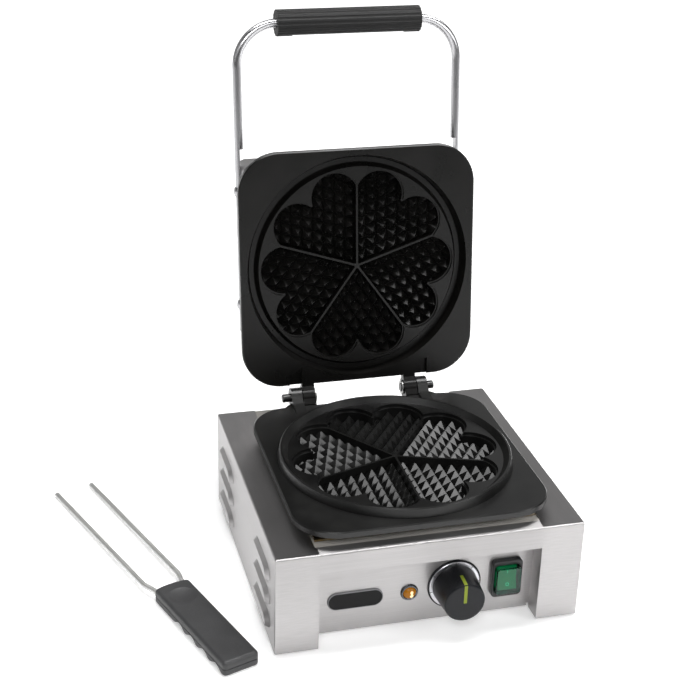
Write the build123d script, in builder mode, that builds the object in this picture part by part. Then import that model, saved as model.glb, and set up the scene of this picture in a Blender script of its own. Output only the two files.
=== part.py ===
from build123d import *
from math import cos, radians, sin, sqrt
import os

os.makedirs("parts", exist_ok=True)

LOW = (Align.CENTER, Align.CENTER, Align.MIN)
HIGH = (Align.CENTER, Align.CENTER, Align.MAX)

# Cabinet: the folded stainless shell, standing just clear of the table on rubber feet
housing_width = 270.0
housing_depth = 260.0
housing_height = 92.5
foot_proud = 2.0
sheet = 1.0
bend = 1.6
leg_inner = 97.3
rail_height = 20.1
rail_lip = 12.0
recess_depth = 18.0
notch = 2.6
wing_inner = 99.0
deck_lap = 10.0
back_lip = 12.0
half_width = housing_width / 2
half_depth = housing_depth / 2
housing_top = foot_proud + housing_height
rail_bottom = housing_top - rail_height
panel_face_y = recess_depth - half_depth
deck_top = housing_top - sheet

# Louvres: two groups of three pressed hoods in each side
louvre_length = 60.0
louvre_height = 12.0
louvre_proud = 3.5
louvre_spread = 160.0
louvre_pitch = 23.5
louvre_mid_z = 43.0

# Cast plates: their flanges meet at the parting plane. Inside the lower plate's ridge the land
# round the hearts stands higher, and the lid's face is sunk by as much.
parting = 110.7
parting_gap = 0.3
flange_thickness = 5.5
plate_width = 225.8
plate_length = 224.4
plate_corner = 38.0
plate_chamfer = 1.0
plate_y = -12.9
land_radius = 96.2
land_rise = 3.7
ridge_root = 2.0
ridge_outer = 105.0
ridge_crest_out = 103.0
ridge_crest_in = 100.5
ridge_height = 8.5
ridge_round = 0.9
boss_radius = 95.8
boss_depth = 12.5
plate_top = parting - parting_gap / 2
lid_face = parting + parting_gap / 2
flange_bottom = plate_top - flange_thickness
lid_back = lid_face + flange_thickness
boss_bottom = parting - boss_depth
plate_back_y = plate_y + plate_length / 2

# Lid casting: a sunk face and a groove for the ridge, backed by a thick disc
groove_outer = 106.2
groove_inner = 95.0
groove_depth = 10.5
groove_draft = 2.5
lid_disc_radius = 108.0
lid_disc_height = 17.2
lid_disc_top = parting + lid_disc_height
lid_land = parting + land_rise + parting_gap

# One heart: two lobes beside its axis, two straight seams, a lattice of pyramids
heart_count = 5
lobe_centre = 70.0
lobe_angle = 18.6
lobe_radius = 22.5
rib_width = 1.9
heart_top = 3.0
heart_bottom = 10.0
pyramid_pitch = 10.8
pyramid_flat = 0.9
flower_step = 1.6
rib_rise = 0.4
lid_step_depth = 1.6
flower_fill = 66.0
seam_angle = 180.0 / heart_count
seam_cut_length = 130.0
groove_count = 9
heart_round = 1.2

# Hinge: the axis lies behind the plates; two lugs of the lower plate outside two of the lid
hinge_y = 112.2
hinge_z = 113.3
open_angle = 97.0
pin_radius = 4.0
pin_play = 0.06
barrel_radius = 9.25
lower_lug_inner = 57.2
lower_lug_width = 10.2
lid_lug_inner = 44.5
lid_lug_width = 12.0
lug_flare_width = 18.8
strut_front = 27.7
strut_rise = 2.5
strut_gap = 0.8
stop_reach = 12.7
pin_overhang = 8.0
clip_width = 1.0
lower_lug_outer = lower_lug_inner + lower_lug_width
lid_lug_outer = lid_lug_inner + lid_lug_width

# Drip tray of the heat shield under the lower plate, with a round well for heater and insulation
tray_width = 195.0
tray_length = 194.0
tray_gap = 1.5
tray_rim = 1.8
well_radius = 78.0
well_depth = 35.0
well_gap = 3.0
stud_x = 84.0
stud_y = 80.0
stud_radius = 2.5
hole_play = 0.05
spacer_radius = 5.0
head_height = 3.5
nut_radius = 4.6
blind_depth = 4.2
tray_bottom = deck_top + tray_gap
tray_floor = tray_bottom + sheet
well_bottom = tray_bottom - well_depth
stud_hole = stud_radius + hole_play

# Heating elements
coil_radius = 60.0
coil_tube = 4.0
coil_sweep = 330.0
terminal_window = (44.0, 12.0)
terminal_radius = 3.0
terminal_drop = 36.0
lower_wool_height = 19.0
bulb_radius = 3.0
bulb_length = 60.0
bulb_end = 42.0
tube_radius = 1.0
tube_setback = 5.0
tube_drop = 11.0
tube_window = 6.0
lid_terminal_rise = 20.0
wool_play = 1.0

# Lid cover and its handle
cover_half_width = 104.4
cover_front = -112.0
cover_back = 91.0
cover_rise = 50.0
cover_corner = 8.0
cover_edge = 3.0
rod_radius = 4.0
rod_height = 35.0
rod_flat_front = -124.0
rod_flat_back = 51.0
rod_bend = 38.0
grip_y = -236.7
grip_length = 135.0
grip_radius = 12.0
grip_flutes = 16
grip_flute_radius = 2.6
grip_flute_depth = 0.6
grip_recess_length = 106.0
grip_recess_depth = 1.0
grip_play = 0.05
rivet_front = -83.8
rivet_back = 25.3
rivet_radius = 5.0
rivet_dome = 2.0
rivet_shank = 2.5
cover_bottom = lid_disc_top
cover_top = parting + cover_rise
rod_z = parting + rod_height
rod_bend_y = grip_y + rod_bend

# Control panel and what it carries, as x and height above the table
panel_bottom = 4.0
panel_lap = 6.7
panel_flange = 10.0
badge_x = -61.5
badge_z = 34.5
badge_length = 49.0
badge_height = 17.0
badge_thickness = 1.6
lamp_x = -13.7
lamp_z = 34.4
lamp_bezel_radius = 7.9
lamp_bezel_proud = 2.2
lamp_lens_radius = 5.6
lamp_dome = 2.6
lamp_neck = 6.0
lamp_body_length = 22.0
dial_x = 26.4
dial_z = 37.1
skirt_radius = 24.0
skirt_thickness = 1.2
ring_outer = 22.6
ring_inner = 18.4
ring_proud = 2.3
knob_gap = 0.5
knob_proud = 30.0
knob_base_radius = 19.9
knob_face_radius = 17.9
knob_wall = 2.2
knob_edge = 1.2
hub_radius = 6.0
shaft_radius = 3.0
shaft_play = 0.06
pointer_width = 2.8
pointer_sink = 0.7
pointer_proud = 0.15
thermostat_width = 38.0
thermostat_height = 33.0
thermostat_depth = 22.0
switch_x = 73.0
switch_z = 38.7
switch_frame_width = 27.4
switch_frame_height = 36.2
switch_frame_proud = 5.4
switch_frame_corner = 4.0
cap_width = 22.6
cap_height = 26.6
cap_proud = 10.3
cap_corner = 3.0
cap_wall = 1.0
cap_play = 0.1
switch_body_width = 21.0
switch_body_height = 29.0
switch_body_depth = 24.0
rocker_width = 16.0
rocker_half_height = 10.8
rocker_tilt = 7.0
rocker_pivot_depth = 3.0
trunnion_radius = 1.5
trunnion_length = 1.6

# Base pan, feet and rear wall
foot_radius = 10.0
foot_height = 8.0
foot_taper = 1.5
foot_x = half_width - 17.0
foot_front = panel_face_y + 17.0
foot_back = half_depth - 22.0
foot_recess = 4.5
screw_radius = 2.0
screw_head_radius = 3.6
screw_head_height = 2.4
base_flange = 12.0
base_slot = (housing_width / 15, 4.0)
base_slot_rows = 5
base_slot_pitch = (housing_width / 9, housing_depth / 11)
rear_slot = (housing_width / 4, 4.0)
rear_slot_rows = 5
rear_slot_pitch = housing_height / 10
gland_x = 43.0 - half_width
gland_z = 30.0
gland_bore = 4.5
gland_radius = 9.0
gland_thread = 7.5
gland_length = 18.0
terminal_block_length = 56.0
terminal_block_width = 20.0
terminal_block_height = 18.0

# Fork: its long axis runs back and to the left on the table, from the handle's butt
fork_x = -165.1
fork_y = -143.5
fork_angle = 108.7
fork_handle_length = 126.9
fork_handle_half = 16.8
fork_handle_height = 14.0
fork_wire = 2.5
fork_tip_s = 333.0
fork_tip_t = 18.2
fork_knee_s = 148.0
fork_knee_t = 17.2
fork_root_s = 99.0
fork_root_t = 13.4
fork_wire_z = 7.0
fork_top_round = 3.5
fork_bottom_round = 3.0
fork_arch = 2.2
fork_corner = 4.0
parting_groove = 0.4
scallop_count = 4
scallop_radius = 17.0
scallop_bite = 4.4
scallop_pitch = 21.4
scallop_first = 15.5
thumb_radius = 40.0
thumb_depth = 2.0
thumb_setback = 24.0

margin = 1.0
hinge_axis = Axis((0, hinge_y, hinge_z), (1, 0, 0))


def save(solid, label):
    """Give a finished piece its name and write it out."""
    solid.label = label
    export_step(solid, "parts/" + label + ".step")


def panel_plane(x, z, proud=0.0):
    """A plane on the control panel's face, looking out of the cabinet's front."""
    return Plane(origin=(x, panel_face_y - proud, z), x_dir=(1, 0, 0), z_dir=(0, -1, 0))


# Louvre: a drawn bump of which only the upper half is raised, open along its lower edge
with BuildPart() as louvre_hood:
    with BuildSketch():
        SlotOverall(louvre_length, 2 * louvre_height)
    extrude(amount=louvre_proud, taper=45)
    with Locations((0, -louvre_height, 0)):
        Box(2 * louvre_length, 2 * louvre_height, 4 * louvre_proud, mode=Mode.SUBTRACT)

with BuildPart() as louvre_hollow:
    with BuildSketch():
        SlotOverall(louvre_length - 2 * sheet, 2 * louvre_height - 2 * sheet)
    extrude(amount=louvre_proud - sheet, taper=45)
    with BuildSketch():
        SlotOverall(louvre_length - 2 * sheet, 2 * louvre_height - 2 * sheet)
    extrude(amount=-2 * sheet)
    with Locations((0, -louvre_height, 0)):
        Box(2 * louvre_length, 2 * louvre_height, 8 * louvre_proud, mode=Mode.SUBTRACT)

louvre_places = []
for group_y in (-louvre_spread / 2, louvre_spread / 2):
    for row in (-1, 0, 1):
        louvre_z = foot_proud + louvre_mid_z + row * louvre_pitch - louvre_height / 2
        louvre_places.append(
            Plane(origin=(half_width, group_y, louvre_z), x_dir=(0, 1, 0), z_dir=(1, 0, 0)).location
        )

# Right side: side wall, top wing and front leg folded from one sheet
with BuildPart() as side_panel_right:
    with BuildSketch(Plane.XY.offset(foot_proud)):
        Rectangle(housing_width, housing_depth)
    extrude(amount=housing_height)
    upright = side_panel_right.edges().filter_by(Axis.Z)
    roof_edges = side_panel_right.faces().sort_by(Axis.Z)[-1].edges()
    fillet(upright + roof_edges, radius=bend)
    with BuildSketch(Plane.XY.offset(foot_proud)):
        Rectangle(housing_width - 2 * sheet, housing_depth - 2 * sheet)
    extrude(amount=housing_height - sheet, mode=Mode.SUBTRACT)
    with Locations((leg_inner, 0, housing_height / 2)):
        Box(
            housing_width,
            housing_depth + margin,
            2 * housing_height,
            align=(Align.MAX, Align.CENTER, Align.CENTER),
            mode=Mode.SUBTRACT,
        )
    # the wing and its back edge stop short of the leg's inner edge
    with Locations((leg_inner, rail_lip - half_depth, housing_height / 2)):
        Box(
            wing_inner - leg_inner,
            housing_depth,
            2 * housing_height,
            align=(Align.MIN, Align.MIN, Align.CENTER),
            mode=Mode.SUBTRACT,
        )
    # the back is cut away to a lip all round
    with Locations((half_width - back_lip, half_depth, 0)):
        Box(
            housing_width,
            4 * sheet,
            housing_top - back_lip,
            align=(Align.MAX, Align.CENTER, Align.MIN),
            mode=Mode.SUBTRACT,
        )
    # the leg's inner edge is folded back to the control panel
    with Locations((leg_inner, -half_depth, foot_proud)):
        Box(
            sheet,
            recess_depth,
            rail_bottom - foot_proud,
            align=(Align.MIN, Align.MIN, Align.MIN),
        )
    with Locations(*louvre_places):
        add(louvre_hood.part)
        add(louvre_hollow.part, mode=Mode.SUBTRACT)
    # screw holes of the rear wall
    with BuildSketch(Plane.XZ.offset(-half_depth)):
        with GridLocations(0, housing_height - 4 * back_lip, 1, 2):
            with Locations((half_width - back_lip / 2 - sheet, foot_proud + housing_height / 2)):
                Circle(screw_radius + hole_play)
    extrude(amount=2 * sheet, mode=Mode.SUBTRACT)

side_panel_left_part = mirror(side_panel_right.part, about=Plane.YZ)

# Front rail: face, top lip and the edge folded back above the control panel
with BuildPart() as front_rail:
    with BuildSketch(Plane.YZ.offset(-leg_inner)):
        with Locations((-half_depth, housing_top)):
            Rectangle(rail_lip, rail_height, align=(Align.MIN, Align.MAX))
        with Locations((-half_depth + sheet, housing_top - sheet)):
            Rectangle(
                rail_lip, rail_height - 2 * sheet, align=(Align.MIN, Align.MAX), mode=Mode.SUBTRACT
            )
        with Locations((-half_depth, rail_bottom)):
            Rectangle(recess_depth, sheet, align=(Align.MIN, Align.MIN))
    extrude(amount=2 * leg_inner)
    nose = front_rail.edges().filter_by(Axis.X).group_by(Axis.Z)[-1].sort_by(Axis.Y)[0]
    fillet(nose, radius=bend)

# Deck: closes the top between the wings, lapped under them, with a hole for the well
with BuildPart() as deck_plate:
    with BuildSketch(Plane.XY.offset(deck_top - sheet)):
        Rectangle(2 * (wing_inner + deck_lap), housing_depth - 2 * sheet)
        with Locations((0, plate_y)):
            Circle(well_radius + well_gap, mode=Mode.SUBTRACT)
            with GridLocations(2 * stud_x, 2 * stud_y, 2, 2):
                Circle(stud_hole, mode=Mode.SUBTRACT)
    extrude(amount=sheet)

# Control panel, set back between the legs and lapped behind their folded edges
with BuildPart() as control_panel:
    with BuildSketch(Plane.XZ.offset(-panel_face_y)):
        with Locations((0, panel_bottom)):
            Rectangle(
                2 * (leg_inner + panel_lap),
                rail_bottom + panel_lap - panel_bottom,
                align=(Align.CENTER, Align.MIN),
            )
        with Locations((lamp_x, lamp_z)):
            Circle(lamp_neck + hole_play, mode=Mode.SUBTRACT)
        with Locations((dial_x, dial_z)):
            Circle(shaft_radius + 2 * margin, mode=Mode.SUBTRACT)
        with Locations((switch_x, switch_z)):
            Rectangle(
                switch_body_width + 2 * cap_play,
                switch_body_height + 2 * cap_play,
                mode=Mode.SUBTRACT,
            )
        # relief notch at the folded bottom corner
        with Locations((leg_inner, panel_bottom)):
            Rectangle(notch, notch, align=(Align.MAX, Align.MIN), mode=Mode.SUBTRACT)
    extrude(amount=-sheet)
    with Locations((0, panel_face_y, panel_bottom)):
        Box(
            2 * leg_inner - 4 * sheet,
            panel_flange,
            sheet,
            align=(Align.CENTER, Align.MIN, Align.MIN),
        )

# Rear wall with cooling slots and the cable inlet
with BuildPart() as rear_panel:
    with BuildSketch(Plane.XZ.offset(sheet - half_depth)):
        with Locations((0, foot_proud + housing_height / 2)):
            Rectangle(housing_width - 4 * sheet, housing_height - 4 * sheet)
            with GridLocations(
                housing_width - back_lip - 2 * sheet, housing_height - 4 * back_lip, 2, 2
            ):
                Circle(screw_radius + hole_play, mode=Mode.SUBTRACT)
            with GridLocations(0, rear_slot_pitch, 1, rear_slot_rows):
                SlotOverall(*rear_slot, mode=Mode.SUBTRACT)
        with Locations((gland_x, gland_z)):
            Circle(gland_thread + hole_play, mode=Mode.SUBTRACT)
    extrude(amount=sheet)

with BuildPart() as rear_screws:
    with BuildSketch(Plane.XZ.offset(-half_depth)):
        with Locations((0, foot_proud + housing_height / 2)):
            with GridLocations(
                housing_width - back_lip - 2 * sheet, housing_height - 4 * back_lip, 2, 2
            ):
                Circle(screw_head_radius)
    extrude(amount=-screw_head_height)
    fillet(rear_screws.faces().group_by(Axis.Y)[-1].edges(), radius=screw_head_height / 2)
    with BuildSketch(Plane.XZ.offset(-half_depth)):
        with Locations((0, foot_proud + housing_height / 2)):
            with GridLocations(
                housing_width - back_lip - 2 * sheet, housing_height - 4 * back_lip, 2, 2
            ):
                Circle(screw_radius)
    extrude(amount=3 * sheet)

# Base pan with turned-up edges between the side walls
base_front = panel_face_y + sheet
base_back = half_depth - 2 * sheet
with BuildPart() as base_plate:
    with BuildSketch(Plane.XY.offset(foot_height)):
        with Locations((0, base_front)):
            Rectangle(
                housing_width - 2 * sheet, base_back - base_front, align=(Align.CENTER, Align.MIN)
            )
    extrude(amount=base_flange)
    with BuildSketch(Plane.XY.offset(foot_height + sheet)):
        with Locations((0, base_front + sheet)):
            Rectangle(
                housing_width - 4 * sheet,
                base_back - base_front - 2 * sheet,
                align=(Align.CENTER, Align.MIN),
            )
    extrude(amount=base_flange, mode=Mode.SUBTRACT)
    with BuildSketch(Plane.XY.offset(foot_height)):
        with Locations((0, (foot_front + foot_back) / 2)):
            with GridLocations(2 * foot_x, foot_back - foot_front, 2, 2):
                Circle(screw_radius + hole_play)
            with GridLocations(*base_slot_pitch, base_slot_rows, base_slot_rows):
                SlotOverall(*base_slot)
    extrude(amount=sheet, mode=Mode.SUBTRACT)
    # the panel's bottom flange passes under the front edge
    with Locations((0, base_front, foot_height)):
        Box(
            2 * leg_inner,
            2 * sheet,
            sheet,
            align=(Align.CENTER, Align.MIN, Align.MAX),
            mode=Mode.SUBTRACT,
        )

with BuildPart() as rubber_feet:
    with Locations((0, (foot_front + foot_back) / 2, 0)):
        with GridLocations(2 * foot_x, foot_back - foot_front, 2, 2):
            Cone(foot_radius - foot_taper, foot_radius, foot_height, align=LOW)
            Cylinder(foot_recess, foot_height / 2, align=LOW, mode=Mode.SUBTRACT)
            Cylinder(screw_radius + hole_play, foot_height, align=LOW, mode=Mode.SUBTRACT)

with BuildPart() as foot_screws:
    with Locations((0, (foot_front + foot_back) / 2, foot_height / 2)):
        with GridLocations(2 * foot_x, foot_back - foot_front, 2, 2):
            Cylinder(screw_head_radius, screw_head_height, align=HIGH)
            Cylinder(screw_radius, foot_height, align=LOW)
    with BuildSketch(Plane.XY.offset(foot_height + sheet)):
        with Locations((0, (foot_front + foot_back) / 2)):
            with GridLocations(2 * foot_x, foot_back - foot_front, 2, 2):
                RegularPolygon(2 * screw_radius, 6)
    extrude(amount=screw_head_height)

# Heat shield: shallow tray with sharp corners, and a round well through the deck
with BuildPart() as heat_shield:
    with Locations((0, plate_y, tray_bottom)):
        Box(tray_width, tray_length, tray_rim, align=LOW)
        Cylinder(well_radius, well_depth, align=HIGH)
    with Locations((0, plate_y, tray_floor)):
        Box(tray_width - 2 * sheet, tray_length - 2 * sheet, tray_rim, align=LOW, mode=Mode.SUBTRACT)
    with Locations((0, plate_y, well_bottom + sheet)):
        Cylinder(well_radius - sheet, well_depth + margin, align=LOW, mode=Mode.SUBTRACT)
    with BuildSketch(Plane.XY.offset(tray_bottom)):
        with Locations((0, plate_y)):
            with GridLocations(2 * stud_x, 2 * stud_y, 2, 2):
                Circle(stud_hole)
    extrude(amount=sheet, mode=Mode.SUBTRACT)
    # openings for the heater's ends and for the sensing tube
    with Locations((0, plate_y + coil_radius, well_bottom)):
        Box(*terminal_window, 2 * sheet, align=LOW, mode=Mode.SUBTRACT)
    with Locations((dial_x, plate_y - well_radius, tray_bottom - tube_drop)):
        Box(tube_window, 4 * tube_window, tube_window, mode=Mode.SUBTRACT)

with BuildPart() as plate_spacers:
    with Locations((0, plate_y, 0)):
        with GridLocations(2 * stud_x, 2 * stud_y, 2, 2):
            with Locations((0, 0, deck_top)):
                Cylinder(spacer_radius, tray_gap, align=LOW)
                Cylinder(stud_hole, tray_gap, align=LOW, mode=Mode.SUBTRACT)
            with Locations((0, 0, tray_floor)):
                Cylinder(spacer_radius, flange_bottom - tray_floor, align=LOW)
                Cylinder(stud_hole, flange_bottom - tray_floor, align=LOW, mode=Mode.SUBTRACT)

bolt_length = flange_bottom + blind_depth - (deck_top - sheet)
with BuildPart() as plate_bolts:
    with BuildSketch(Plane.XY.offset(deck_top - sheet)):
        with Locations((0, plate_y)):
            with GridLocations(2 * stud_x, 2 * stud_y, 2, 2):
                RegularPolygon(nut_radius, 6)
    extrude(amount=-head_height)
    with Locations((0, plate_y, deck_top - sheet)):
        with GridLocations(2 * stud_x, 2 * stud_y, 2, 2):
            Cylinder(stud_radius, bolt_length, align=LOW)

# Outline of one heart, its axis along +Y from the flower's centre
seam = radians(seam_angle)
seam_along = Vector(sin(seam), cos(seam), 0)
seam_inward = Vector(-cos(seam), sin(seam), 0)
lobe = Vector(lobe_centre * sin(radians(lobe_angle)), lobe_centre * cos(radians(lobe_angle)), 0)
rib_edge = seam_inward * (rib_width / 2)
lobe_foot = rib_edge + seam_along * lobe.dot(seam_along)
seam_end = rib_edge + seam_along * seam_cut_length
apex_y = rib_width / 2 / sin(seam)

with BuildSketch() as heart_outline:
    Polygon(
        (0, apex_y),
        (lobe_foot.X, lobe_foot.Y),
        (lobe.X, lobe.Y),
        (-lobe.X, lobe.Y),
        (-lobe_foot.X, lobe_foot.Y),
        align=None,
    )
    with Locations((lobe.X, lobe.Y), (-lobe.X, lobe.Y)):
        Circle(lobe_radius)
    Polygon(
        (0, apex_y),
        (seam_end.X, seam_end.Y),
        (-seam_end.X, seam_end.Y),
        align=None,
        mode=Mode.INTERSECT,
    )
    fillet(heart_outline.vertices(), radius=heart_round)

# Lattice of one heart: V grooves along both seams, clipped to the heart's outline
groove_step = pyramid_pitch * sin(2 * seam)
groove_half = (groove_step - pyramid_flat) / 2
top_z = parting - heart_top
bottom_z = parting - heart_bottom
comb = [(-groove_half, top_z)]
for groove in range(groove_count):
    comb.append((groove * groove_step, bottom_z))
    comb.append((groove * groove_step + groove_half, top_z))
    comb.append(((groove + 1) * groove_step - groove_half, top_z))
comb.pop()
comb.append((comb[-1][0], top_z + margin / 2))
comb.append((-groove_half, top_z + margin / 2))

with BuildPart() as heart_cutter:
    with BuildSketch(Plane(origin=(0, 0, 0), x_dir=seam_inward, z_dir=seam_along)):
        Polygon(*comb, align=None)
    extrude(amount=seam_cut_length)
    mirror(about=Plane.YZ)
    with BuildSketch(Plane.XY.offset(bottom_z - margin)):
        add(heart_outline.sketch)
    extrude(amount=top_z - bottom_z + 2 * margin, mode=Mode.INTERSECT)
    with BuildSketch(Plane.XY.offset(top_z)):
        add(heart_outline.sketch)
    extrude(amount=heart_top + margin)

heart_cutter_up = mirror(heart_cutter.part, about=Plane.XY.offset(parting + land_rise / 2))

# The flower's stepped edge, a little outside all five hearts
with BuildSketch() as flower_outline:
    Circle(flower_fill)
    with PolarLocations(lobe_centre, heart_count, start_angle=90 + lobe_angle):
        Circle(lobe_radius + flower_step)
    with PolarLocations(lobe_centre, heart_count, start_angle=90 - lobe_angle):
        Circle(lobe_radius + flower_step)

plate_spin = Axis((0, plate_y, 0), (0, 0, 1))
plate_section = Plane.XZ.offset(-plate_y)

# Lower casting: flange, boss, raised ridge, five hearts and the outer hinge lugs
with BuildPart() as lower_plate:
    with BuildSketch(Plane.XY.offset(flange_bottom)):
        with Locations((0, plate_y)):
            RectangleRounded(plate_width, plate_length, plate_corner)
    extrude(amount=flange_thickness)
    chamfer(lower_plate.faces().sort_by(Axis.Z)[-1].edges(), length=plate_chamfer)
    with Locations((0, plate_y, boss_bottom)):
        Cylinder(boss_radius, flange_bottom - boss_bottom, align=LOW)
    with BuildSketch(plate_section):
        with BuildLine():
            Polyline(
                (0, plate_top - ridge_root),
                (ridge_outer, plate_top - ridge_root),
                (ridge_outer, plate_top),
                (ridge_crest_out + ridge_round / 2, parting + ridge_height - ridge_round),
                (ridge_crest_out - ridge_round / 2, parting + ridge_height),
                (ridge_crest_in + ridge_round / 2, parting + ridge_height),
                (ridge_crest_in - ridge_round / 2, parting + ridge_height - ridge_round),
                (land_radius, parting + land_rise),
                (0, parting + land_rise),
                close=True,
            )
        make_face()
    revolve(axis=plate_spin)
    with BuildSketch(Plane.XY.offset(parting + rib_rise)):
        with Locations((0, plate_y)):
            add(flower_outline.sketch)
    extrude(amount=land_rise, mode=Mode.SUBTRACT)
    # hinge lugs: a barrel on a low strut, flared where it meets the plate's back edge
    for lug_x in (lower_lug_inner, -lower_lug_outer):
        with BuildSketch(Plane.YZ.offset(lug_x)):
            with Locations((hinge_y, hinge_z)):
                Circle(barrel_radius)
            Polygon(
                (hinge_y - strut_front, flange_bottom),
                (hinge_y - strut_front, plate_top),
                (plate_back_y, plate_top + strut_rise),
                (hinge_y - 7.0, hinge_z + 5.5),
                (hinge_y, hinge_z - barrel_radius),
                (plate_back_y, flange_bottom),
                align=None,
            )
            with Locations((hinge_y, hinge_z)):
                Circle(pin_radius, mode=Mode.SUBTRACT)
        extrude(amount=lower_lug_width)
    with BuildSketch(Plane.XY.offset(flange_bottom)):
        for side in (1, -1):
            Polygon(
                (side * lower_lug_inner, plate_back_y - margin),
                (side * (lower_lug_inner + lug_flare_width), plate_back_y - margin),
                (side * (lower_lug_inner + lug_flare_width), plate_back_y),
                (side * lower_lug_outer, hinge_y - pin_radius),
                (side * lower_lug_inner, hinge_y - pin_radius),
                align=None,
            )
    extrude(amount=flange_thickness - plate_chamfer)
    with Locations((0, hinge_y, hinge_z)):
        Cylinder(pin_radius, 4 * lower_lug_outer, rotation=(0, 90, 0), mode=Mode.SUBTRACT)
    with Locations((0, plate_y, flange_bottom)):
        with GridLocations(2 * stud_x, 2 * stud_y, 2, 2):
            Cylinder(stud_radius, blind_depth, align=LOW, mode=Mode.SUBTRACT)
    with Locations((0, plate_y, 0)):
        with PolarLocations(0, heart_count):
            add(heart_cutter.part, mode=Mode.SUBTRACT)

# Upper casting, drawn closed: the same hearts facing down, a groove for the ridge, inner lugs
with BuildPart() as upper_plate:
    with BuildSketch(Plane.XY.offset(lid_face)):
        with Locations((0, plate_y)):
            RectangleRounded(plate_width, plate_length, plate_corner)
    extrude(amount=flange_thickness)
    chamfer(upper_plate.faces().sort_by(Axis.Z)[0].edges(), length=plate_chamfer)
    with Locations((0, plate_y, lid_back)):
        Cylinder(lid_disc_radius, lid_disc_top - lid_back, align=LOW)
    with BuildSketch(plate_section):
        with BuildLine():
            Polyline(
                (0, lid_land),
                (0, parting - margin),
                (groove_outer, parting - margin),
                (groove_outer, lid_face),
                (groove_outer - groove_draft, parting + groove_depth - ridge_round),
                (groove_outer - groove_draft - ridge_round, parting + groove_depth),
                (groove_inner + groove_draft + ridge_round, parting + groove_depth),
                (groove_inner + groove_draft, parting + groove_depth - ridge_round),
                (groove_inner, lid_land),
                close=True,
            )
        make_face()
    revolve(axis=plate_spin, mode=Mode.SUBTRACT)
    with BuildSketch(Plane.XY.offset(parting)):
        with Locations((0, plate_y)):
            add(flower_outline.sketch)
    extrude(amount=lid_land + lid_step_depth - parting, mode=Mode.SUBTRACT)
    for lug_x in (lid_lug_inner, -lid_lug_outer):
        with BuildSketch(Plane.YZ.offset(lug_x)):
            with Locations((hinge_y, hinge_z)):
                Circle(barrel_radius)
            Polygon(
                (plate_back_y - margin, lid_face),
                (plate_back_y - margin, lid_back),
                (plate_back_y, lid_back),
                (hinge_y - 3.0, hinge_z + 8.5),
                (hinge_y - 5.0, hinge_z - 7.5),
                (plate_back_y + 1.7, lid_face),
                align=None,
            )
            # heel that meets the lower plate's back edge when the lid stands open
            with Locations(Location((hinge_y, hinge_z, 0), (0, 0, open_angle))):
                Polygon(
                    (-stop_reach, -2.0),
                    (-stop_reach, -7.0),
                    (-4.0, -8.3),
                    (-5.0, 6.5),
                    align=None,
                )
            with Locations((hinge_y, hinge_z)):
                Circle(pin_radius + pin_play, mode=Mode.SUBTRACT)
        extrude(amount=lid_lug_width)
    # shallow pockets in the face clear the lower lugs' struts
    for lug_x in (lower_lug_inner - strut_gap, -lower_lug_outer - strut_gap):
        with Locations((lug_x, hinge_y - strut_front - margin, lid_face)):
            Box(
                lower_lug_width + 2 * strut_gap,
                strut_front,
                strut_rise + strut_gap,
                align=(Align.MIN, Align.MIN, Align.MIN),
                mode=Mode.SUBTRACT,
            )
    with Locations((0, plate_y, lid_back)):
        with GridLocations(2 * stud_x, 2 * stud_y, 2, 2):
            Cylinder(stud_radius, blind_depth, align=HIGH, mode=Mode.SUBTRACT)
    with Locations((0, plate_y, 0)):
        with PolarLocations(0, heart_count):
            add(heart_cutter_up, mode=Mode.SUBTRACT)

# Hinge pins, fixed in the lower lugs, with a retaining clip inside the lid's lugs
clip_x = lid_lug_inner - clip_width - margin / 2
pin_end = lower_lug_outer + pin_overhang
with BuildPart() as hinge_pin_right:
    with BuildSketch(Plane.YZ.offset(clip_x - clip_width)):
        with Locations((hinge_y, hinge_z)):
            Circle(pin_radius)
    extrude(amount=pin_end - clip_x + clip_width)
    chamfer(hinge_pin_right.faces().sort_by(Axis.X)[-1].edges(), length=0.8)
    with BuildSketch(Plane.YZ.offset(clip_x)):
        with Locations((hinge_y, hinge_z)):
            Circle(pin_radius + margin)
            Circle(pin_radius - 0.6, mode=Mode.SUBTRACT)
    extrude(amount=clip_width, mode=Mode.SUBTRACT)

hinge_pin_left_part = mirror(hinge_pin_right.part, about=Plane.YZ)

with BuildPart() as hinge_clips:
    with BuildSketch(Plane.YZ.offset(clip_x)):
        with Locations((hinge_y, hinge_z)):
            Circle(pin_radius + 3.0)
            Circle(pin_radius - 0.6, mode=Mode.SUBTRACT)
            with Locations((0, pin_radius)):
                Rectangle(2.4, 2 * pin_radius, mode=Mode.SUBTRACT)
    extrude(amount=clip_width)
    mirror(about=Plane.YZ)

# Heating elements: a tubular ring brazed to each casting, open towards the hinge
coil_start = 90 + (360 - coil_sweep) / 2
coil_end_x = coil_radius * cos(radians(coil_start))
coil_end_y = plate_y + coil_radius * sin(radians(coil_start))
lower_coil_z = boss_bottom - coil_tube
lid_coil_z = lid_disc_top + coil_tube
coil_spin = Axis((0, plate_y, 0), (0, 0, 1))

with BuildPart() as lower_heater:
    with BuildSketch(Plane(origin=(coil_end_x, coil_end_y, lower_coil_z),
                           x_dir=(cos(radians(coil_start)), sin(radians(coil_start)), 0),
                           z_dir=(-sin(radians(coil_start)), cos(radians(coil_start)), 0))):
        Circle(coil_tube)
    revolve(axis=coil_spin, revolution_arc=coil_sweep)
    with Locations((coil_end_x, coil_end_y, lower_coil_z), (-coil_end_x, coil_end_y, lower_coil_z)):
        Sphere(coil_tube)
        Cylinder(terminal_radius, terminal_drop, align=HIGH)

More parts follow.
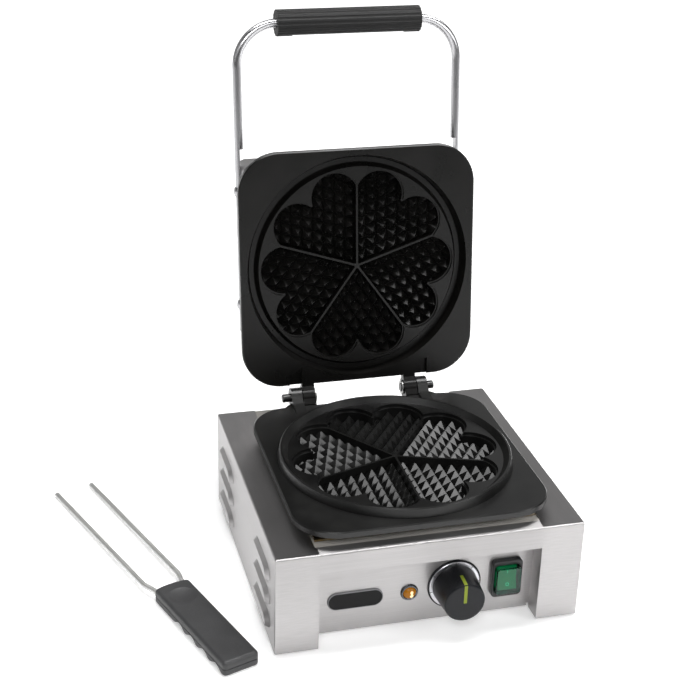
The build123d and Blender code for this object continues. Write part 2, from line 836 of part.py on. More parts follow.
with BuildPart() as upper_heater:
    with BuildSketch(Plane(origin=(coil_end_x, coil_end_y, lid_coil_z),
                           x_dir=(cos(radians(coil_start)), sin(radians(coil_start)), 0),
                           z_dir=(-sin(radians(coil_start)), cos(radians(coil_start)), 0))):
        Circle(coil_tube)
    revolve(axis=coil_spin, revolution_arc=coil_sweep)
    with Locations((coil_end_x, coil_end_y, lid_coil_z), (-coil_end_x, coil_end_y, lid_coil_z)):
        Sphere(coil_tube)
        Cylinder(terminal_radius, lid_terminal_rise, align=LOW)

# Insulation: a blanket in the well, another between the upper ring and the cover
with BuildPart() as lower_insulation:
    with Locations((0, plate_y, well_bottom + sheet)):
        Cylinder(well_radius - sheet - wool_play, lower_wool_height, align=LOW)
    with Locations((coil_end_x, coil_end_y, well_bottom), (-coil_end_x, coil_end_y, well_bottom)):
        Cylinder(terminal_radius + wool_play, terminal_drop, align=LOW, mode=Mode.SUBTRACT)

upper_wool_bottom = lid_disc_top + 2 * coil_tube
with BuildPart() as upper_insulation:
    with Locations((0, plate_y, upper_wool_bottom)):
        Cylinder(boss_radius, cover_top - sheet - upper_wool_bottom, align=LOW)
    with Locations(
        (coil_end_x, coil_end_y, upper_wool_bottom), (-coil_end_x, coil_end_y, upper_wool_bottom)
    ):
        Cylinder(terminal_radius + wool_play, cover_rise, align=LOW, mode=Mode.SUBTRACT)

# Lid cover: a drawn stainless pan clamped over the insulation by four long studs
cover_length = cover_back - cover_front
cover_y = (cover_front + cover_back) / 2
rivet_places = [(0, rivet_front, rod_z), (0, rivet_back, rod_z)]
with BuildPart() as lid_cover:
    with BuildSketch(Plane.XY.offset(cover_bottom)):
        with Locations((0, cover_y)):
            RectangleRounded(2 * cover_half_width, cover_length, cover_corner)
    extrude(amount=cover_top - cover_bottom)
    fillet(lid_cover.faces().sort_by(Axis.Z)[-1].edges(), radius=cover_edge)
    with BuildSketch(Plane.XY.offset(cover_bottom)):
        with Locations((0, cover_y)):
            RectangleRounded(
                2 * cover_half_width - 2 * sheet, cover_length - 2 * sheet, cover_corner - sheet
            )
    extrude(amount=cover_top - cover_bottom - sheet, mode=Mode.SUBTRACT)
    with Locations(*rivet_places):
        Cylinder(rivet_shank, 4 * cover_half_width, rotation=(0, 90, 0), mode=Mode.SUBTRACT)
    with Locations((0, plate_y, cover_top - 2 * sheet)):
        with GridLocations(2 * stud_x, 2 * stud_y, 2, 2):
            Cylinder(stud_hole, 4 * sheet, align=LOW, mode=Mode.SUBTRACT)
    with BuildSketch(Plane.XZ.offset(-cover_back - margin)):
        with Locations((0, cover_bottom + cover_rise / 3)):
            Circle(gland_thread)
    extrude(amount=4 * sheet, mode=Mode.SUBTRACT)

with BuildPart() as lid_studs:
    with Locations((0, plate_y, lid_back - blind_depth)):
        with GridLocations(2 * stud_x, 2 * stud_y, 2, 2):
            Cylinder(stud_radius, cover_top - lid_back + 2 * blind_depth, align=LOW)

with BuildPart() as cover_nuts:
    with BuildSketch(Plane.XY.offset(cover_top)):
        with Locations((0, plate_y)):
            with GridLocations(2 * stud_x, 2 * stud_y, 2, 2):
                RegularPolygon(nut_radius, 6)
    extrude(amount=head_height)
    with Locations((0, plate_y, cover_top + head_height)):
        with GridLocations(2 * stud_x, 2 * stud_y, 2, 2):
            Sphere(0.8 * nut_radius)
    with Locations((0, plate_y, cover_top)):
        with GridLocations(2 * stud_x, 2 * stud_y, 2, 2):
            Cylinder(stud_hole, blind_depth + 0.2, align=LOW, mode=Mode.SUBTRACT)
            Cylinder(3 * stud_radius, 2 * head_height, align=HIGH, mode=Mode.SUBTRACT)

with BuildPart() as lid_grommet:
    with BuildSketch(Plane.XZ.offset(-cover_back - margin)):
        with Locations((0, cover_bottom + cover_rise / 3)):
            Circle(gland_radius)
            Circle(gland_bore, mode=Mode.SUBTRACT)
    extrude(amount=sheet)
    with BuildSketch(Plane.XZ.offset(-cover_back)):
        with Locations((0, cover_bottom + cover_rise / 3)):
            Circle(gland_thread)
            Circle(gland_bore, mode=Mode.SUBTRACT)
    extrude(amount=3 * sheet)

# Handle rod: one bent bar whose ends are milled to half their depth and lie on the cover's sides
with BuildPart() as handle_rod:
    with BuildLine():
        Polyline(
            (-cover_half_width, rod_flat_back, rod_z),
            (-cover_half_width, rod_bend_y, rod_z),
        )
        CenterArc((-cover_half_width + rod_bend, rod_bend_y, rod_z), rod_bend, 180, 90)
        Line(
            (-cover_half_width + rod_bend, grip_y, rod_z),
            (cover_half_width - rod_bend, grip_y, rod_z),
        )
        CenterArc((cover_half_width - rod_bend, rod_bend_y, rod_z), rod_bend, 270, 90)
        Line((cover_half_width, rod_bend_y, rod_z), (cover_half_width, rod_flat_back, rod_z))
    with BuildSketch(Plane(origin=(-cover_half_width, rod_flat_back, rod_z), z_dir=(0, -1, 0))):
        Circle(rod_radius)
    sweep()
    with Locations((0, rod_flat_front, rod_z)):
        Box(
            2 * cover_half_width,
            rod_flat_back - rod_flat_front + margin,
            4 * rod_radius,
            align=(Align.CENTER, Align.MIN, Align.CENTER),
            mode=Mode.SUBTRACT,
        )
    with Locations(*rivet_places):
        Cylinder(rivet_shank, 4 * cover_half_width, rotation=(0, 90, 0), mode=Mode.SUBTRACT)

# Grip: a fluted sleeve with flat ends, and on the lid's side a shallow recess for the fingers
with BuildPart() as handle_grip:
    with BuildSketch(Plane.YZ.offset(-grip_length / 2)):
        with Locations((grip_y, rod_z)):
            Circle(grip_radius)
            with PolarLocations(grip_radius + grip_flute_radius - grip_flute_depth, grip_flutes):
                Circle(grip_flute_radius, mode=Mode.SUBTRACT)
    extrude(amount=grip_length)
    with Locations((0, grip_y + grip_radius - grip_recess_depth, rod_z)):
        Box(
            grip_recess_length,
            grip_radius,
            2 * grip_radius,
            align=(Align.CENTER, Align.MIN, Align.CENTER),
            mode=Mode.SUBTRACT,
        )
    with Locations((0, grip_y, rod_z)):
        Cylinder(rod_radius + grip_play, 2 * grip_length, rotation=(0, 90, 0), mode=Mode.SUBTRACT)

dome_sphere = (rivet_radius**2 + rivet_dome**2) / (2 * rivet_dome)
dome_shoulder = rivet_dome - dome_sphere + sqrt(dome_sphere**2 - (rivet_radius / 2) ** 2)
with BuildPart() as rivets_right:
    for rivet_y in (rivet_front, rivet_back):
        with BuildSketch(Plane.XY.offset(rod_z)):
            with BuildLine():
                Polyline(
                    (cover_half_width - sheet - 1.6, rivet_y),
                    (cover_half_width - sheet - 1.6, rivet_y + 3.6),
                    (cover_half_width - sheet, rivet_y + 3.6),
                    (cover_half_width - sheet, rivet_y + rivet_shank),
                    (cover_half_width + rod_radius, rivet_y + rivet_shank),
                    (cover_half_width + rod_radius, rivet_y + rivet_radius),
                )
                ThreePointArc(
                    (cover_half_width + rod_radius, rivet_y + rivet_radius),
                    (cover_half_width + rod_radius + dome_shoulder, rivet_y + rivet_radius / 2),
                    (cover_half_width + rod_radius + rivet_dome, rivet_y),
                )
                Line(
                    (cover_half_width + rod_radius + rivet_dome, rivet_y),
                    (cover_half_width - sheet - 1.6, rivet_y),
                )
            make_face()
        revolve(axis=Axis((0, rivet_y, rod_z), (1, 0, 0)))

with BuildPart() as handle_rivets:
    add(rivets_right.part)
    mirror(about=Plane.YZ)

# Badge: a bare stadium plate
with BuildPart() as badge_plate:
    with BuildSketch(panel_plane(badge_x, badge_z)):
        SlotOverall(badge_length, badge_height)
    extrude(amount=badge_thickness)
    fillet(badge_plate.faces().sort_by(Axis.Y)[0].edges(), radius=badge_thickness / 2)

# Pilot lamp: bezel, domed lens and the body behind the panel
lamp_spin = Axis((lamp_x, 0, lamp_z), (0, 1, 0))
lamp_face = panel_face_y - lamp_bezel_proud
with BuildPart() as lamp_bezel:
    with BuildSketch(Plane.YZ.offset(lamp_x)):
        Polygon(
            (panel_face_y, lamp_z + lamp_lens_radius),
            (panel_face_y, lamp_z + lamp_bezel_radius),
            (panel_face_y - 0.8, lamp_z + lamp_bezel_radius),
            (lamp_face, lamp_z + lamp_bezel_radius - 0.9),
            (lamp_face, lamp_z + lamp_lens_radius + 0.6),
            (lamp_face + 0.5, lamp_z + lamp_lens_radius),
            align=None,
        )
    revolve(axis=lamp_spin)

with BuildPart() as lamp_lens:
    with BuildSketch(Plane.YZ.offset(lamp_x)):
        with BuildLine():
            Polyline(
                (lamp_face + 0.6, lamp_z + lamp_lens_radius),
                (panel_face_y - 0.2, lamp_z + lamp_lens_radius),
                (panel_face_y - 0.2, lamp_z),
                (lamp_face - lamp_dome, lamp_z),
            )
            ThreePointArc(
                (lamp_face - lamp_dome, lamp_z),
                (lamp_face - 0.62 * lamp_dome, lamp_z + 0.62 * lamp_lens_radius),
                (lamp_face + 0.6, lamp_z + lamp_lens_radius),
            )
        make_face()
    revolve(axis=lamp_spin)

with BuildPart() as lamp_body:
    with BuildSketch(panel_plane(lamp_x, lamp_z, 0.2)):
        Circle(lamp_lens_radius)
    extrude(amount=-0.2)
    with BuildSketch(panel_plane(lamp_x, lamp_z)):
        Circle(lamp_neck)
    extrude(amount=-lamp_body_length)
    with BuildSketch(panel_plane(lamp_x, lamp_z, -sheet)):
        RegularPolygon(lamp_neck + 3.0, 6)
    extrude(amount=-3.0)

# Dial: black skirt and satin ring on the panel, knob on the thermostat's shaft
with BuildPart() as dial_skirt:
    with BuildSketch(panel_plane(dial_x, dial_z)):
        Circle(skirt_radius)
        Circle(ring_inner, mode=Mode.SUBTRACT)
    extrude(amount=skirt_thickness)
    fillet(dial_skirt.faces().sort_by(Axis.Y)[0].edges().sort_by(SortBy.LENGTH)[-1], radius=0.6)

with BuildPart() as dial_ring:
    with BuildSketch(panel_plane(dial_x, dial_z, skirt_thickness)):
        Circle(ring_outer)
        Circle(ring_inner, mode=Mode.SUBTRACT)
    extrude(amount=ring_proud - skirt_thickness)
    chamfer(dial_ring.faces().sort_by(Axis.Y)[0].edges().sort_by(SortBy.LENGTH)[-1], length=0.4)

knob_back = panel_face_y - ring_proud - knob_gap
knob_face = panel_face_y - knob_proud
shaft_end = knob_face + 3 * knob_wall
dial_spin = Axis((dial_x, 0, dial_z), (0, 1, 0))
pointer_back = (knob_back + knob_face) / 2
side_slope = (knob_base_radius - knob_face_radius) / (knob_back - knob_face)


def knob_radius_at(y):
    """The knob's radius at a depth between its face and its back."""
    return knob_face_radius + (y - knob_face) * side_slope


with BuildPart() as knob_pointer:
    with BuildSketch(Plane.YZ.offset(dial_x)):
        Polygon(
            (knob_face - pointer_proud, dial_z),
            (knob_face - pointer_proud, dial_z + knob_face_radius - knob_edge),
            (knob_face + knob_edge, dial_z + knob_radius_at(knob_face + knob_edge) + pointer_proud),
            (pointer_back, dial_z + knob_radius_at(pointer_back) + pointer_proud),
            (pointer_back, dial_z + knob_radius_at(pointer_back) - pointer_sink),
            (knob_face + knob_edge + pointer_sink, dial_z + knob_radius_at(knob_face) - pointer_sink),
            (knob_face + pointer_sink, dial_z + knob_face_radius - knob_edge - pointer_sink),
            (knob_face + pointer_sink, dial_z),
            align=None,
        )
    extrude(amount=pointer_width / 2, both=True)

with BuildPart() as knob:
    with BuildSketch(Plane.YZ.offset(dial_x)):
        Polygon(
            (knob_face, dial_z),
            (knob_face, dial_z + knob_face_radius - knob_edge),
            (knob_face + knob_edge / 3, dial_z + knob_face_radius - knob_edge / 3),
            (knob_face + knob_edge, dial_z + knob_radius_at(knob_face + knob_edge)),
            (knob_back, dial_z + knob_base_radius),
            (knob_back, dial_z + knob_base_radius - knob_wall),
            (knob_face + 2 * knob_wall, dial_z + knob_face_radius - knob_wall),
            (knob_face + 2 * knob_wall, dial_z + hub_radius),
            (knob_back, dial_z + hub_radius),
            (knob_back, dial_z),
            align=None,
        )
    revolve(axis=dial_spin)
    with BuildSketch(panel_plane(dial_x, dial_z)):
        Circle(shaft_radius)
        with Locations((0, -shaft_radius)):
            Rectangle(2 * shaft_radius, shaft_radius, mode=Mode.SUBTRACT)
    extrude(amount=panel_face_y - shaft_end, mode=Mode.SUBTRACT)
    add(knob_pointer.part, mode=Mode.SUBTRACT)

thermostat_face = panel_face_y + sheet
with BuildPart() as thermostat_shaft:
    with BuildSketch(Plane.XZ.offset(-thermostat_face - thermostat_depth / 2)):
        with Locations((dial_x, dial_z)):
            Circle(shaft_radius)
            with Locations((0, -shaft_radius)):
                Rectangle(2 * shaft_radius, shaft_radius, mode=Mode.SUBTRACT)
    extrude(amount=thermostat_face + thermostat_depth / 2 - shaft_end)
    with BuildSketch(Plane.XZ.offset(-thermostat_face - thermostat_depth / 2)):
        with Locations((dial_x, dial_z)):
            Circle(shaft_radius)
    extrude(amount=thermostat_depth / 2 + sheet)

with BuildPart() as thermostat_body:
    with BuildSketch(panel_plane(dial_x, dial_z, -sheet)):
        RectangleRounded(thermostat_width, thermostat_height, 3.0)
    extrude(amount=-thermostat_depth)
    with BuildSketch(panel_plane(dial_x, dial_z, -sheet)):
        Circle(shaft_radius + shaft_play)
    extrude(amount=-thermostat_depth / 2, mode=Mode.SUBTRACT)

# Sensing bulb under the lower casting, its tube led through the well's wall to the thermostat
bulb_z = boss_bottom - bulb_radius
bulb_y = plate_y - bulb_end
tube_z = tray_bottom - tube_drop
tube_top = dial_z + thermostat_height / 2
tube_y = thermostat_face + thermostat_depth / 2
with BuildPart() as thermostat_bulb:
    with BuildLine():
        Polyline(
            (dial_x, bulb_y, bulb_z),
            (dial_x, bulb_y - tube_setback, bulb_z),
            (dial_x, bulb_y - tube_setback, tube_z),
            (dial_x, tube_y, tube_z),
            (dial_x, tube_y, tube_top),
        )
    with BuildSketch(Plane(origin=(dial_x, bulb_y, bulb_z), z_dir=(0, -1, 0))):
        Circle(tube_radius)
    sweep(transition=Transition.ROUND)
    with BuildSketch(Plane.XZ.offset(-bulb_y)):
        with Locations((dial_x, bulb_z)):
            Circle(bulb_radius)
    extrude(amount=-bulb_length)

# Rocker switch: black frame, clear green splash cap, rocker and the body behind
with BuildPart() as switch_frame:
    with BuildSketch(panel_plane(switch_x, switch_z)):
        RectangleRounded(switch_frame_width, switch_frame_height, switch_frame_corner)
        RectangleRounded(
            cap_width + 2 * cap_play, cap_height + 2 * cap_play, cap_corner, mode=Mode.SUBTRACT
        )
    extrude(amount=switch_frame_proud)
    fillet(switch_frame.faces().sort_by(Axis.Y)[0].edges(), radius=1.0)

with BuildPart() as switch_cap:
    with BuildSketch(panel_plane(switch_x, switch_z)):
        RectangleRounded(cap_width, cap_height, cap_corner)
    extrude(amount=cap_proud)
    fillet(switch_cap.faces().sort_by(Axis.Y)[0].edges(), radius=1.5)
    with BuildSketch(panel_plane(switch_x, switch_z)):
        RectangleRounded(
            cap_width - 2 * cap_wall, cap_height - 2 * cap_wall, cap_corner - cap_wall
        )
    extrude(amount=cap_proud - cap_wall, mode=Mode.SUBTRACT)

pivot_y = panel_face_y + rocker_pivot_depth
well_half_width = rocker_width / 2 + 0.6
with BuildPart() as switch_body:
    with BuildSketch(panel_plane(switch_x, switch_z)):
        Rectangle(switch_body_width, switch_body_height)
    extrude(amount=-switch_body_depth)
    with BuildSketch(panel_plane(switch_x, switch_z)):
        Rectangle(2 * well_half_width, cap_height - 2 * cap_wall)
    extrude(amount=-4 * rocker_pivot_depth, mode=Mode.SUBTRACT)
    with Locations((switch_x, pivot_y, switch_z)):
        Cylinder(
            trunnion_radius + hole_play,
            2 * (well_half_width + trunnion_length),
            rotation=(0, 90, 0),
            mode=Mode.SUBTRACT,
        )

# the rocker rests tipped to one side, on its own pivot
with BuildPart() as switch_rocker:
    with BuildSketch(Plane.YZ.offset(switch_x)):
        with Locations(Location((pivot_y, switch_z, 0), (0, 0, -rocker_tilt))):
            Polygon(
                (6.0, -6.0),
                (6.0, 6.0),
                (-1.0, rocker_half_height),
                (-9.0, rocker_half_height),
                (-7.6, 0.0),
                (-9.0, -rocker_half_height),
                (-1.0, -rocker_half_height),
                align=None,
            )
    extrude(amount=rocker_width / 2, both=True)
    with Locations((switch_x, pivot_y, switch_z)):
        Cylinder(trunnion_radius, rocker_width + 2 * trunnion_length, rotation=(0, 90, 0))

# Inside the cabinet and at its back: terminal block and cable gland
with BuildPart() as terminal_block:
    with BuildSketch(Plane.XY.offset(foot_height + sheet)):
        with Locations((gland_x + 2 * terminal_block_width, half_depth - 2 * terminal_block_width)):
            RectangleRounded(terminal_block_length, terminal_block_width, 2.0)
    extrude(amount=terminal_block_height)
    with BuildSketch(Plane.XY.offset(foot_height + sheet + terminal_block_height)):
        with Locations((gland_x + 2 * terminal_block_width, half_depth - 2 * terminal_block_width)):
            with GridLocations(terminal_block_length / 5, terminal_block_width / 2, 5, 2):
                Circle(screw_radius)
    extrude(amount=-terminal_block_height / 2, mode=Mode.SUBTRACT)

rear_face = half_depth - sheet
with BuildPart() as cable_gland:
    with BuildSketch(Plane.XZ.offset(-rear_face)):
        with Locations((gland_x, gland_z)):
            RegularPolygon(gland_radius + 1.5, 6)
    extrude(amount=-gland_length / 3)
    with BuildSketch(Plane.XZ.offset(-rear_face - gland_length / 3)):
        with Locations((gland_x, gland_z)):
            Circle(gland_radius)
    extrude(amount=-2 * gland_length / 3)
    fillet(cable_gland.faces().sort_by(Axis.Y)[-1].edges(), radius=3.0)
    with BuildSketch(Plane.XZ.offset(-rear_face)):
        with Locations((gland_x, gland_z)):
            Circle(gland_thread)
    extrude(amount=gland_length / 2)
    with BuildSketch(Plane.XZ.offset(-rear_face + sheet)):
        with Locations((gland_x, gland_z)):
            RegularPolygon(gland_radius + 1.5, 6)
    extrude(amount=gland_length / 4)
    with BuildSketch(Plane.XZ.offset(-rear_face + gland_length)):
        with Locations((gland_x, gland_z)):
            Circle(gland_bore)
    extrude(amount=-3 * gland_length, mode=Mode.SUBTRACT)

# Fork, drawn in its own frame: s towards the tips, t across
fork_place = Location((fork_x, fork_y, 0), (0, 0, fork_angle))
with BuildPart() as fork_tines_flat:
    for side in (1, -1):
        with BuildLine():
            sleeve = Line(
                (fork_root_s, side * fork_root_t, fork_wire_z),
                (fork_handle_length, side * fork_root_t, fork_wire_z),
            )
            tine = Line(
                (fork_knee_s, side * fork_knee_t, fork_wire_z - fork_wire / 4),
                (fork_tip_s, side * fork_tip_t, fork_wire),
            )
            Spline(sleeve @ 1, tine @ 0, tangents=[sleeve % 1, tine % 0])
        with BuildSketch(
            Plane(origin=(fork_root_s, side * fork_root_t, fork_wire_z), z_dir=(1, 0, 0))
        ):
            Circle(fork_wire)
        sweep()

# handle outline with an arched tine end
arch_s = fork_handle_length - fork_arch
with BuildSketch() as handle_outline:
    with BuildLine():
        Polyline(
            (arch_s, -fork_handle_half),
            (0, -fork_handle_half),
            (0, fork_handle_half),
            (arch_s, fork_handle_half),
        )
        ThreePointArc(
            (arch_s, fork_handle_half),
            (fork_handle_length, 0),
            (arch_s, -fork_handle_half),
        )
    make_face()
    fillet(handle_outline.vertices(), radius=fork_corner)

# the finger grooves bite slantwise into the lower left edge
scallop_offset = (scallop_radius - scallop_bite) / sqrt(2)
with BuildPart() as fork_handle_flat:
    add(handle_outline.sketch)
    extrude(amount=fork_handle_height)
    fillet(fork_handle_flat.faces().sort_by(Axis.Z)[-1].edges(), radius=fork_top_round)
    fillet(fork_handle_flat.faces().sort_by(Axis.Z)[0].edges(), radius=fork_bottom_round)
    for scallop in range(scallop_count):
        with Locations(
            (
                scallop_first + scallop * scallop_pitch,
                fork_handle_half + scallop_offset,
                -scallop_offset,
            )
        ):
            Cylinder(
                scallop_radius, 4 * scallop_radius, rotation=(-45, 0, 0), mode=Mode.SUBTRACT
            )
    # parting line round the moulding
    with BuildSketch(Plane.XY.offset(fork_handle_height / 2)):
        add(handle_outline.sketch)
        offset(handle_outline.sketch, amount=-parting_groove, mode=Mode.SUBTRACT)
    extrude(amount=parting_groove, both=True, mode=Mode.SUBTRACT)
    # thumb rest on the upper face
    with Locations(
        (
            fork_handle_length - thumb_setback,
            0,
            fork_handle_height + thumb_radius - thumb_depth,
        )
    ):
        Sphere(thumb_radius, mode=Mode.SUBTRACT)
    for side in (1, -1):
        with Locations((fork_root_s, side * fork_root_t, fork_wire_z)):
            Cylinder(
                fork_wire,
                fork_handle_length,
                rotation=(0, 90, 0),
                align=LOW,
                mode=Mode.SUBTRACT,
            )

root_pieces = {
    "side_panel_right": side_panel_right.part,
    "side_panel_left": side_panel_left_part,
    "front_rail": front_rail.part,
    "deck_plate": deck_plate.part,
    "control_panel": control_panel.part,
    "rear_panel": rear_panel.part,
    "rear_screws": rear_screws.part,
    "base_plate": base_plate.part,
    "rubber_feet": rubber_feet.part,
    "foot_screws": foot_screws.part,
    "heat_shield": heat_shield.part,
    "plate_spacers": plate_spacers.part,
    "plate_bolts": plate_bolts.part,
    "lower_plate": lower_plate.part,
    "lower_heater": lower_heater.part,
    "lower_insulation": lower_insulation.part,
    "hinge_pin_right": hinge_pin_right.part,
    "hinge_pin_left": hinge_pin_left_part,
    "hinge_clips": hinge_clips.part,
    "badge_plate": badge_plate.part,
    "lamp_bezel": lamp_bezel.part,
    "lamp_lens": lamp_lens.part,
    "lamp_body": lamp_body.part,
    "dial_skirt": dial_skirt.part,
    "dial_ring": dial_ring.part,
    "thermostat_body": thermostat_body.part,
    "thermostat_bulb": thermostat_bulb.part,
    "switch_frame": switch_frame.part,
    "switch_cap": switch_cap.part,
    "switch_body": switch_body.part,
    "terminal_block": terminal_block.part,
    "cable_gland": cable_gland.part,
}
lid_pieces = {
    "upper_plate": upper_plate.part,
    "upper_heater": upper_heater.part,
    "upper_insulation": upper_insulation.part,
    "lid_cover": lid_cover.part,
    "lid_studs": lid_studs.part,
    "cover_nuts": cover_nuts.part,
    "lid_grommet": lid_grommet.part,
    "handle_rod": handle_rod.part,
    "handle_grip": handle_grip.part,
    "handle_rivets": handle_rivets.part,
}
moving_pieces = {
    "knob": knob.part,
    "knob_pointer": knob_pointer.part,
    "thermostat_shaft": thermostat_shaft.part,
    "switch_rocker": switch_rocker.part,
    "fork_tines": fork_place * fork_tines_flat.part,
    "fork_handle": fork_place * fork_handle_flat.part,
}
for label, solid in {**root_pieces, **moving_pieces}.items():
    save(solid, label)
# the lid is drawn closed and stands open at rest
for label, solid in lid_pieces.items():
    save(solid.rotate(hinge_axis, -open_angle), label)
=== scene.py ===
# %% [markdown]
# A heart waffle maker, dressed around its CAD frame. The frame gives every rigid piece its
# shape and place in metres, so most of the work here is finish: brushed stainless steel,
# coated castings, chrome, moulded plastics, and light that shows them.

# %% Load the frame
from math import cos, pi, radians, sin

import bpy
from mathutils import Matrix, Vector


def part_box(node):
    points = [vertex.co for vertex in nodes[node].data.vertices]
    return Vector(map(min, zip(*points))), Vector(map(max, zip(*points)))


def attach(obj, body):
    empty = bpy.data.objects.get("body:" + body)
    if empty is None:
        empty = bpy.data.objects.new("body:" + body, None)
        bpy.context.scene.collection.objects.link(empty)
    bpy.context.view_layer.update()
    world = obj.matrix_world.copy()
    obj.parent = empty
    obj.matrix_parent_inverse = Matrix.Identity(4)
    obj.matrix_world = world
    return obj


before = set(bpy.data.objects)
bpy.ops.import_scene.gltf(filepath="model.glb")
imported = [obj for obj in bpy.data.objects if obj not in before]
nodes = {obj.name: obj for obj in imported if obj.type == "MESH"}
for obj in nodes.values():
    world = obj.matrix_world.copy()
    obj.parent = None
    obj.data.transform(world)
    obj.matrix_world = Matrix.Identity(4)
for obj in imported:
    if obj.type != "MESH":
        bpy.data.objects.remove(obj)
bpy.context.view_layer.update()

MM = 0.001

# %% [markdown]
# Camera: a short telephoto lens stands in front, to the left and above, and is rolled by a
# degree and a half. Its place was solved from straight edges of the cabinet, so a bare matrix is
# surer here than aiming at a target.

# %% Camera
CAMERA_AT = Vector((-0.351588, -1.106115, 0.757676))
AZIMUTH, ELEVATION, ROLL = -0.265914, 0.435725, 0.026869
FOCAL_PIXELS, IMAGE_PIXELS, SENSOR_MM = 1470.39, 680, 36.0

back = Vector((sin(AZIMUTH) * cos(ELEVATION), -cos(AZIMUTH) * cos(ELEVATION), sin(ELEVATION)))
level = Vector((0, 0, 1)).cross(back).normalized()
upward = back.cross(level)
right = cos(ROLL) * level + sin(ROLL) * upward
above = -sin(ROLL) * level + cos(ROLL) * upward

camera_data = bpy.data.cameras.new("camera")
camera_data.sensor_width = SENSOR_MM
camera_data.lens = FOCAL_PIXELS * SENSOR_MM / IMAGE_PIXELS
camera_data.clip_start, camera_data.clip_end = 0.05, 20.0
camera = bpy.data.objects.new("camera", camera_data)
bpy.context.scene.collection.objects.link(camera)
camera.matrix_world = Matrix.Translation(CAMERA_AT) @ Matrix((right, above, back)).transposed().to_4x4()
bpy.context.scene.camera = camera
print("lens", round(camera_data.lens, 2), "mm")

# %% [markdown]
# Floor and light: the photograph is a catalogue shot on a white sweep. Each softbox is put where
# some facets of the pyramids mirror it to the camera: the key above the camera lights the two right
# hearts, the front right box the two left ones, and the overhead box the lid's upper facets. The
# back heart mirrors none of them and stays black. The room is dim, so level metal stays grey. The
# floor glows a little of its own, because paper that is lit for a catalogue washes out to white.
# In front of the view it glows less, because the black lid face mirrors it and would turn grey.

# %% Colour helper and node helper
def linear(hex_code):
    """An sRGB hex colour as linear values, opaque."""
    channels = [int(hex_code[i : i + 2], 16) / 255 for i in (1, 3, 5)]
    return tuple(c / 12.92 if c <= 0.04045 else ((c + 0.055) / 1.055) ** 2.4 for c in channels) + (1.0,)


def add_node(tree, kind, settings=None, links=None):
    """Add one shader node. settings holds properties or inputs, links maps inputs to outputs."""
    node = tree.nodes.new(kind)
    for name, value in (settings or {}).items():
        if name in node.inputs.keys() or isinstance(name, int):
            node.inputs[name].default_value = value
        else:
            setattr(node, name, value)
    for name, source in (links or {}).items():
        tree.links.new(source, node.inputs[name])
    return node


def new_material(name, settings):
    """A material with a Principled shader; constants go straight on its sockets."""
    material = bpy.data.materials.new(name)
    material.use_nodes = True
    tree = material.node_tree
    shader = tree.nodes["Principled BSDF"]
    for socket, value in settings.items():
        shader.inputs[socket].default_value = value
    return material, tree, shader


def object_noise(tree, size_mm, detail=2.0, roughness=0.5):
    """Noise on the piece's own coordinates. size_mm is the length of its features, or x, y and z."""
    sizes_mm = size_mm if isinstance(size_mm, tuple) else (size_mm,) * 3
    scales = tuple(1000 / size for size in sizes_mm)
    place = add_node(tree, "ShaderNodeTexCoord")
    stretch = add_node(tree, "ShaderNodeMapping", {"Scale": scales}, {"Vector": place.outputs["Object"]})
    return add_node(
        tree,
        "ShaderNodeTexNoise",
        {"Scale": 1.0, "Detail": detail, "Roughness": roughness},
        {"Vector": stretch.outputs["Vector"]},
    )


def spread(tree, source, low, high, from_low=0.3, from_high=0.7):
    """Map a 0-1 pattern to a range."""
    return add_node(
        tree,
        "ShaderNodeMapRange",
        {"From Min": from_low, "From Max": from_high, "To Min": low, "To Max": high},
        {"Value": source},
    ).outputs["Result"]


def bump(tree, shader, height, relief_mm):
    """Small relief in millimetres."""
    relief = add_node(
        tree, "ShaderNodeBump", {"Strength": 1.0, "Distance": relief_mm * MM}, {"Height": height}
    )
    tree.links.new(relief.outputs["Normal"], shader.inputs["Normal"])


def tint(tree, shader, factor, dark, light):
    """Colour between two hex values by a pattern."""
    blend = add_node(tree, "ShaderNodeMix", {"data_type": "RGBA"}, {"Factor": factor})
    blend.inputs["A"].default_value = linear(dark)
    blend.inputs["B"].default_value = linear(light)
    tree.links.new(blend.outputs["Result"], shader.inputs["Base Color"])


# %% Floor and lights
FLOOR_SIZE = 30.0
# Near the object the floor glows less, so it is darker round the object's foot: painted shade that deepens
# its shadows.
FLOOR_GLOW_NEAR, FLOOR_GLOW_FAR, FLOOR_GLOW_FRONT = 0.25, 0.92, 0.3
GLOW_GROWS_FROM, GLOW_GROWS_TO = 0.4, 1.6  # metres from the object
GLOW_DIM_UP_TO, GLOW_FULL_FROM = -1.5, -0.4  # metres along Y
ROOM_FRONT, ROOM_BACK = 0.05, 0.38
ROOM_TURNS_FROM, ROOM_TURNS_TO = -0.2, 0.6  # Y of the direction looked in
bpy.ops.object.select_all(action="DESELECT")
bpy.ops.mesh.primitive_plane_add(size=FLOOR_SIZE, location=(0, 0, 0))
floor = bpy.context.object
floor.name = "studio_floor"
floor_paint, tree, shader = new_material(
    "white_sweep_paper",
    {"Base Color": linear("#f4f4f4"), "Roughness": 0.9, "Specular IOR Level": 0.1,
     "Emission Color": linear("#ffffff")},
)
place = add_node(tree, "ShaderNodeTexCoord")
reach = add_node(tree, "ShaderNodeVectorMath", {"operation": "LENGTH"}, {0: place.outputs["Object"]})
side = add_node(tree, "ShaderNodeSeparateXYZ", None, {"Vector": place.outputs["Object"]})
glow = add_node(
    tree, "ShaderNodeMath", {"operation": "MULTIPLY"},
    {0: spread(tree, reach.outputs["Value"], FLOOR_GLOW_NEAR, FLOOR_GLOW_FAR, GLOW_GROWS_FROM, GLOW_GROWS_TO),
     1: spread(tree, side.outputs["Y"], FLOOR_GLOW_FRONT, 1.0, GLOW_DIM_UP_TO, GLOW_FULL_FROM)},
)
tree.links.new(glow.outputs["Value"], shader.inputs["Emission Strength"])
floor.data.materials.append(floor_paint)

